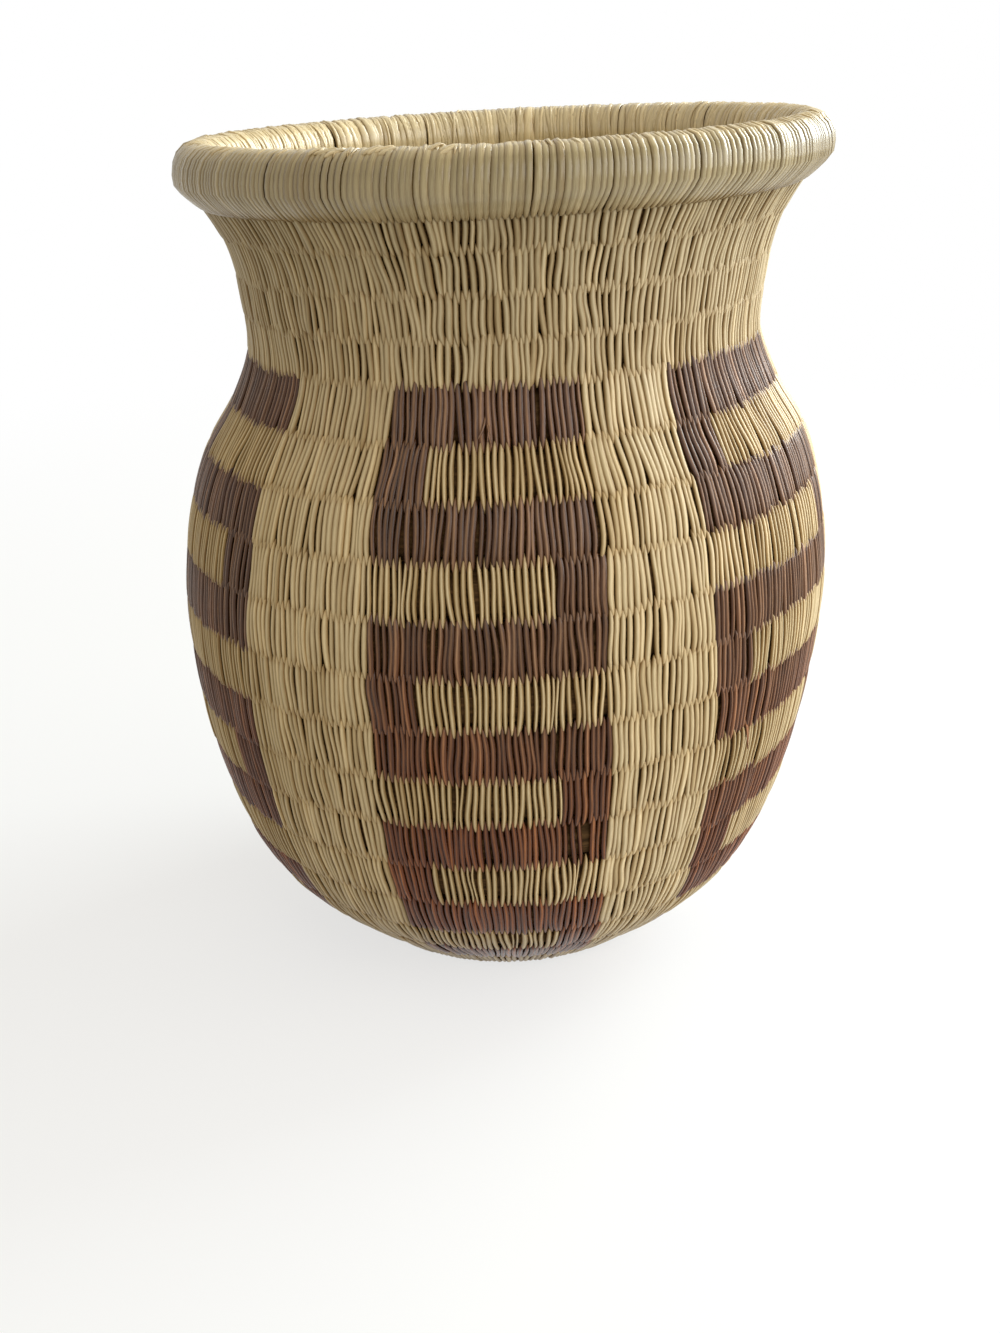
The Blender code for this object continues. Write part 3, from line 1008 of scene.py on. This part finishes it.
def knot_tube(rng):
    """The start of the bundle, curled up in the middle of the base."""
    around, ridges = stem_section(STEM_POINTS // 2, rng)
    turn = np.linspace((1 - KNOT_TURNS) * math.tau, math.tau, KNOT_RINGS)[:, None]
    share = clipped(turn, turn[0], turn[-1])
    climb = climbed(turn)
    middle = np.interp(share, (0, 1), KNOT_MIDDLES)
    middle += (edge_run(0.5) - KNOT_MIDDLES[1]) * climb
    half = np.interp(share, (0, 1), KNOT_HALVES) + (FIRST_ROW_HALF - KNOT_HALVES[1]) * climb
    radius = middle + half * ridges * np.cos(around)
    depth = BUNDLE_DEPTH - KNOT_HALF_DEPTH * ridges * np.sin(around)
    flat = np.stack(np.broadcast_arrays(radius, depth), axis=-1)
    return stem_tube(turn + CLIMB_END, flat, around, turn * 0.01)


class VASE_OT_body_stitches(VaseOperator, bpy.types.Operator):
    """Sews the outside of the body: the brown meander bands and the cream between them"""

    bl_idname = "vase.body_stitches"
    bl_label = "Body stitches"
    draws = 2

    def execute(self, context):
        stitches, colours, rng = self.start(context)
        rows = sewn_rows(stitches)
        lots = {}
        for row in range(BASE_ROWS, NECK_ROW):
            strands, angles = row_strands(row, rows[row], stitches, rng, False, STRAND_RINGS)
            is_brown, place = sorted_by_colour(row, angles)
            if row == MISSING_STITCH[0]:
                place[np.abs(angles - math.tau - MISSING_STITCH[1]).argmin()] = -1
            for band in range(BANDS):
                for word, right_colour in (("brown", is_brown), ("cream", ~is_brown)):
                    lot = chosen(strands, right_colour & (place == band))
                    lots.setdefault((word, band), []).append(lot)
        for (word, band), parts in lots.items():
            stretch = f"{'brown_meander' if word == 'brown' else 'cream_field'}_{band + 1}"
            add_strands(f"{stretch}_stitches", parts, word, colours, stretch)
        return {"FINISHED"}


class VASE_OT_loose_ends(VaseOperator, bpy.types.Operator):
    """Leaves a few short ends of strand standing off the body"""

    bl_idname = "vase.loose_ends"
    bl_label = "Loose ends"
    draws = 7

    def execute(self, context):
        _, colours, rng = self.start(context)
        for word in ("brown", "cream"):
            strands = loose_ends(LOOSE_ENDS[word], rng)
            add_strands(f"loose_{word}_ends", [strands], word, colours)
        return {"FINISHED"}


def loose_ends(ends, rng):
    """A few thin ends at each place, from under the stitches out to the air."""
    degrees, start_row, stop_row = np.repeat(ends, END_STRANDS, axis=0).T
    count = len(degrees)
    turn = np.radians(degrees)
    start = edge_run(start_row)
    stop = edge_run(stop_row + rng.normal(0, 0.06, count))
    t = np.linspace(0, 1, STRAND_RINGS)
    run = start[:, None] * (1 - t) + stop[:, None] * t
    rise = rng.uniform(0.0003, 0.0011, count)[:, None]
    depth = 0.0011 - (0.0011 + rise) * t**1.5 - 0.0004 * np.sin(math.pi * t)
    flat = section(run, depth)
    sway = rng.normal(0, 0.010, count)[:, None]
    angle = turn[:, None] + rng.normal(0, 0.006, count)[:, None] + sway * t**2
    half_width = rng.uniform(0.00022, 0.00040, count)[:, None] * (1 - 0.7 * t**3)
    return strand_tubes(
        leaning(angle, flat), -turned_out(angle, inward_at(run)),
        half_width, half_width * 0.9, rng.uniform(0.5, 1, count), 0.5 * (1 - t), 0.0, 1.0,
    )


class VASE_OT_neck_stitches(VaseOperator, bpy.types.Operator):
    """Sews the outside of the neck, row by row"""

    bl_idname = "vase.neck_stitches"
    bl_label = "Neck stitches"
    draws = 3

    def execute(self, context):
        stitches, colours, rng = self.start(context)
        rows = sewn_rows(stitches)
        for row in range(NECK_ROW, ALL_ROWS):
            strands, _ = row_strands(row, rows[row], stitches, rng, False, STRAND_RINGS)
            name = f"neck_stitches_row_{row - NECK_ROW + 1}"
            add_strands(name, [strands], "cream", colours, "neck_stitching")
        return {"FINISHED"}


class VASE_OT_base_stitches(VaseOperator, bpy.types.Operator):
    """Sews the base, underneath and inside"""

    bl_idname = "vase.base_stitches"
    bl_label = "Base stitches"
    draws = 4

    def execute(self, context):
        stitches, colours, rng = self.start(context)
        rows = sewn_rows(stitches)
        for name, inside in (("base", False), ("inner_base", True)):
            lots = [
                row_strands(row, rows[row], stitches, rng, inside, STRAND_RINGS)[0]
                for row in range(BASE_ROWS)
            ]
            lots.append(knot_stitches(stitches, rng, inside))
            add_strands(f"{name}_stitches", lots, "cream", colours, f"{name}_stitching")
        return {"FINISHED"}


def knot_stitches(stitches, rng, inside):
    """Strands crossed over the knot in the middle of the base."""
    count = KNOT_STRANDS
    t = np.linspace(-1, 1, STRAND_RINGS)
    turn = math.pi * np.arange(count) / count + rng.normal(0, 0.05, count)
    reach = KNOT_RADIUS * rng.uniform(1.05, 1.25, count)
    side = rng.normal(0, 0.0004, count)
    depth = stitches.strand_height / 2 + 0.00004 * np.arange(count)[:, None] * (1 - t**2)
    depth = depth + (stitches.tuck_depth - stitches.strand_height / 2) * np.abs(t) ** 4
    height = WALL_THICKNESS - depth + 0.0004 if inside else np.maximum(depth, 0.00043)
    flat = (reach[:, None] * t + 1j * side[:, None]) * np.exp(1j * turn)[:, None]
    centres = np.stack([flat.real, flat.imag, height], axis=-1)
    out = np.broadcast_to([0.0, 0.0, 1.0 if inside else -1.0], centres.shape)
    half_width = stitches.strand_width / 2 * tapered(np.abs(t), 4.5)
    half_height = np.minimum(stitches.strand_height / 2, half_width)
    tone = rng.uniform(0, 1, count)
    # The inner strands over the knot take painted light.
    return strand_tubes(
        centres, out, half_width, half_height, tone, np.abs(t), float(inside), 0.0
    )


class VASE_OT_rim_stitches(VaseOperator, bpy.types.Operator):
    """Winds the strands side by side over the rolled rim"""

    bl_idname = "vase.rim_stitches"
    bl_label = "Rim stitches"
    draws = 5

    def execute(self, context):
        stitches, colours, rng = self.start(context)
        add_piece(
            "rim_stitches", rim_strands(stitches, rng), rim_cream(colours), "cream_strand",
            "rim_stitching",
        )
        ends = joined([loose_strands(stitches, rng), crest_tufts(stitches, rng)])
        add_piece("rim_loose_ends", ends, rim_cream(colours), "cream_strand")
        return {"FINISHED"}


def rim_path():
    """The section path of a stitch over the rim, from the outer face of the top row over
    the oval bundle to the inner face, as points and directions out of the rim."""
    radius, height = rim_middle()
    lip = RUNS[-1]
    turns = np.radians(np.linspace(-22, 216, 10))
    across = radius + (RIM_ACROSS + RIM_COVER) * np.cos(turns)
    oval = np.stack([across, height + (RIM_UP + RIM_COVER) * np.sin(turns)], axis=1)
    foot = [section(lip - 0.0022, 0.0009), section(lip - 0.0004, -0.0005)]
    tail = [section(lip - 0.0004, 0.0079), section(lip - 0.0022, 0.0065)]
    points = np.array(smooth_line([*foot, *oval, *tail]))
    runs = walked(points)
    even = (1 - np.cos(np.linspace(0.35, math.pi - 0.35, RIM_RINGS))) / 2
    even = (even - even[0]) / (even[-1] - even[0]) * runs[-1]
    path = read_off(even, runs, points)
    ahead = np.gradient(path, axis=0)
    return path, unit(np.stack([ahead[:, 1], -ahead[:, 0]], axis=1)), even / runs[-1]


def strands_on_rim(stitches, rng, turns, reach, lift, slant, painted_light):
    """Flat strands that lie over the rim from share to share of the stitches' path."""
    path, out, share = rim_path()
    t = crowded(RIM_RINGS)
    along = reach[0][:, None] * (1 - t) + reach[1][:, None] * t
    flat = read_off(along, share, path)
    outward = read_off(along, share, out)
    flat += (lift[:, None] * np.sin(math.pi * t) ** 0.5)[..., None] * outward
    turn = turns[:, None] + slant[:, None] * t
    centres = leaning(turn, flat)
    near_end = np.abs(2 * t - 1)
    wide = stitches.rim_pitch * rng.uniform(0.22, 0.50, len(turns))
    half_width = wide[:, None] * tapered(near_end, 6)
    half_height = np.minimum(stitches.strand_height * 0.3, half_width)
    tone = rng.uniform(0.3, 1, len(turns))
    outward = turned_out(turn, outward)
    return strand_tubes(
        centres, outward, half_width, half_height, tone, near_end**3, painted_light, 1.0
    )


def loose_strands(stitches, rng):
    """Slanting strands on the rim's inner side, from their free ends on the crest."""
    count = LOOSE_STRANDS
    turns = rng.uniform(0, math.tau, count)
    reach = rng.uniform(0.42, 0.56, count), np.ones(count)
    lift = rng.uniform(0.0002, 0.0006, count)
    slant = rng.normal(-0.035, 0.030, count)
    # Full painted light, as on the rest of the inside.
    return strands_on_rim(stitches, rng, turns, reach, lift, slant, 1.0)


def crest_tufts(stitches, rng):
    """Short pale ends that stand a little off the crest in a few places."""
    turns = np.repeat(np.radians(CREST_TUFTS), TUFT_STRANDS)
    count = len(turns)
    turns += rng.normal(0, 0.020, count)
    reach = rng.uniform(0.44, 0.48, count), rng.uniform(0.51, 0.57, count)
    lift = rng.uniform(0.0002, 0.0007, count)
    slant = rng.uniform(0.02, 0.05, count)
    # Full painted light, which makes the tufts pale.
    return strands_on_rim(stitches, rng, turns, reach, lift, slant, 1.0)


def rim_strands(stitches, rng):
    """The stitches of the rim. Their feet go between the heads of the top row."""
    path, out, share = rim_path()
    radius = path[:, 0].max()
    count = round(math.tau * radius / stitches.rim_pitch)
    feet = spread(np.sort(sewn_rows(stitches)[-1][2]), count)
    even = evened(feet, 8)
    spacing = math.tau / count
    middles = even + rng.normal(0, 0.09 * spacing, count)
    ease = clipped(share, 0.0, 0.22) ** 0.7
    lean = (spacing + alike(rng.normal(0, 0.3 * spacing, count))[:, None]) * share
    turn = feet[:, None] * (1 - ease) + middles[:, None] * ease + lean + CLIMB_END
    loose = smoothed(clipped(share, 0.48, 0.78))
    turn = turn + rng.normal(-1.2 * spacing, 0.6 * spacing, count)[:, None] * loose
    lift = rng.normal(0, 0.00010, count)[:, None] * np.sin(math.pi * share)
    lift = lift + rng.uniform(-0.0002, 0.0006, count)[:, None] * loose * (1 - share) * 3
    flat = path + lift[..., None] * out
    centres = leaning(turn, flat)
    near_end = np.abs(2 * share - 1)
    taper = 1 - 0.85 * clipped(near_end, 0.72, 1.0) ** 2.5
    wide = stitches.rim_pitch * 0.63 * rng.normal(1.0, 0.12, count).clip(0.84, 1.22)
    half_width = wide[:, None] * taper * (1 + 0.5 * loose)
    half_height = np.minimum(stitches.strand_height * 0.34, half_width)
    tone = rng.uniform(0.05, 1.0, count)
    # Painted light grows up the rim's outer side to a painted highlight on the crest, and
    # stays on down the inner side.
    return strand_tubes(
        centres, turned_out(turn, np.broadcast_to(out, flat.shape)), half_width, half_height,
        tone, clipped(near_end, 0.4, 1.0), clipped(share, 0.38, 0.52), 1.0,
    )


class VASE_OT_inner_stitches(VaseOperator, bpy.types.Operator):
    """Sews the inside of the body and the neck, where the bands show too"""

    bl_idname = "vase.inner_stitches"
    bl_label = "Inner stitches"
    draws = 6

    def execute(self, context):
        stitches, colours, rng = self.start(context)
        rows = sewn_rows(stitches)
        lots = {}
        for row in range(BASE_ROWS, ALL_ROWS):
            strands, angles = row_strands(row, rows[row], stitches, rng, True, INNER_RINGS)
            if row >= NECK_ROW:
                lots.setdefault(("neck", "cream", ""), []).append(strands)
                continue
            is_brown, _ = sorted_by_colour(row, angles)
            front = np.cos(angles) > 0
            for word, right_colour in (("brown", is_brown), ("cream", ~is_brown)):
                for half, name in ((front, "_front"), (~front, "_back")):
                    lot = chosen(strands, right_colour & half)
                    lots.setdefault(("body", word, name), []).append(lot)
        for (part, word, half), parts in lots.items():
            name = f"inner_{part}_{word}_stitches{half}"
            add_strands(name, parts, word, colours, f"inner_{part}_stitching")
        return {"FINISHED"}


class VASE_OT_stage(bpy.types.Operator):
    """Sets the floor, the light and the camera"""

    bl_idname = "vase.stage"
    bl_label = "Stage"

    def execute(self, context):
        stage = context.scene.vase_stage
        add_floor(stage)
        add_room_light(stage)
        add_lamps(stage)
        add_camera(context.scene)
        context.scene.view_settings.view_transform = "Standard"
        return {"FINISHED"}


def seen_directly(tree):
    """One for rays straight from the camera or by way of gloss or glass, else zero."""
    path = node(tree, "ShaderNodeLightPath").outputs
    camera_or_gloss = maths(tree, "MAXIMUM", path["Is Camera Ray"], path["Is Glossy Ray"])
    return maths(tree, "MAXIMUM", camera_or_gloss, path["Is Transmission Ray"])


def surfaced(tree, output, share, first, second):
    """Sends two shaders, mixed by a share, to the tree's output."""
    both = node(tree, "ShaderNodeMixShader", None, i0=share, i1=first, i2=second)
    tree.links.new(both.outputs[0], tree.nodes[output].inputs["Surface"])


def add_floor(stage):
    """A wide pale floor that keeps some of the vase's shadow."""
    far = FLOOR_REACH
    mesh = bpy.data.meshes.new("floor")
    corners = [(-far, -far, 0.0), (far, -far, 0.0), (far, far, 0.0), (-far, far, 0.0)]
    mesh.from_pydata(corners, [], [(0, 1, 2, 3)])
    made, tree, shader = shader_nodes("floor", 0.5, 0.9)
    seen = seen_directly(tree)
    pale = mixed(tree, "MIX", seen, (*stage.floor, 1.0), (0.8, 0.8, 0.8, 1.0))
    tree.links.new(pale, shader.inputs["Base Color"])
    glow = node(tree, "ShaderNodeEmission", None, Color=WHITE, Strength=1.0)
    where = node(tree, "ShaderNodeTexCoord").outputs["Object"]
    away = node(tree, "ShaderNodeVectorMath", {"operation": "LENGTH"}, i0=where)
    fade = node(
        tree, "ShaderNodeMapRange", {"interpolation_type": "SMOOTHSTEP"},
        i0=away.outputs["Value"], i1=0.2, i2=0.8, i3=0.70, i4=1.0,
    )
    share = maths(tree, "MULTIPLY", seen, fade.outputs[0])
    surfaced(tree, "Material Output", share, shader.outputs[0], glow.outputs[0])
    mesh.materials.append(made)
    floor = bpy.data.objects.new("floor", mesh)
    bpy.context.collection.objects.link(floor)


def add_room_light(stage):
    """Even light from all sides, before a white background."""
    world = bpy.data.worlds.new("room")
    bpy.context.scene.world = world
    world.use_nodes = True
    tree = world.node_tree
    room = tree.nodes["Background"]
    room.inputs["Color"].default_value = ROOM_COLOUR
    room.inputs["Strength"].default_value = stage.room
    white = node(tree, "ShaderNodeBackground", None, Color=WHITE, Strength=1.0)
    surfaced(tree, "World Output", seen_directly(tree), room.outputs[0], white.outputs[0])


def add_lamps(stage):
    """Soft lamps on the right: a window, the sky behind it and a weaker one in front."""
    for name, place, size, share, colour in LAMPS:
        light = bpy.data.lights.new(name, "AREA")
        light.energy = stage.window * share
        light.shape = "RECTANGLE"
        light.size, light.size_y = size
        light.color = colour
        lamp = bpy.data.objects.new(name, light)
        lamp.location = place
        x, y, z = np.array(LAMPS_AIM) - place
        tilt = math.atan2(math.hypot(x, y), -z)
        lamp.rotation_euler = (tilt, 0.0, math.atan2(y, x) - math.pi / 2)
        bpy.context.collection.objects.link(lamp)


def add_camera(scene):
    """The camera, a little above the rim and looking down at the belly."""
    camera = bpy.data.cameras.new("camera")
    camera.sensor_width = CAMERA_SENSOR
    camera.lens = CAMERA_LENS
    camera.clip_start = 0.01
    holder = bpy.data.objects.new("camera", camera)
    holder.location = CAMERA_PLACE
    turn = Matrix.Rotation(CAMERA_TURN, 3, "Z")
    tilt = Matrix.Rotation(CAMERA_TILT, 3, "X")
    roll = Matrix.Rotation(CAMERA_ROLL, 3, "Z")
    holder.rotation_euler = (turn @ tilt @ roll).to_euler()
    scene.collection.objects.link(holder)
    scene.camera = holder


OPERATORS = (
    VASE_OT_bundle,
    VASE_OT_base_stitches,
    VASE_OT_body_stitches,
    VASE_OT_loose_ends,
    VASE_OT_neck_stitches,
    VASE_OT_rim_stitches,
    VASE_OT_inner_stitches,
    VASE_OT_stage,
)


class VASE_PT_panel(bpy.types.Panel):
    """The vase's pieces, sizes and colours"""

    bl_idname = "VASE_PT_panel"
    bl_label = "Sewn vase"
    bl_space_type = "VIEW_3D"
    bl_region_type = "UI"
    bl_category = "Vase"

    def draw(self, context):
        for operator in OPERATORS:
            self.layout.operator(operator.bl_idname)
        scene = context.scene
        for group in (scene.vase_stitches, scene.vase_colours, scene.vase_stage):
            box = self.layout.box()
            for name in group.__annotations__:
                box.prop(group, name)


SETTINGS = {
    "vase_stitches": StitchSettings,
    "vase_colours": ColourSettings,
    "vase_stage": StageSettings,
}


CLASSES = (*SETTINGS.values(), *OPERATORS, VASE_PT_panel)


def register():
    for kind in CLASSES:
        bpy.utils.register_class(kind)
    for name, group in SETTINGS.items():
        setattr(bpy.types.Scene, name, PointerProperty(type=group))


def unregister():
    for name in SETTINGS:
        delattr(bpy.types.Scene, name)
    for kind in reversed(CLASSES):
        bpy.utils.unregister_class(kind)


def main():
    register()
    for operator in OPERATORS:
        family, name = operator.bl_idname.split(".")
        getattr(getattr(bpy.ops, family), name)()


if __name__ == "__main__":
    main()
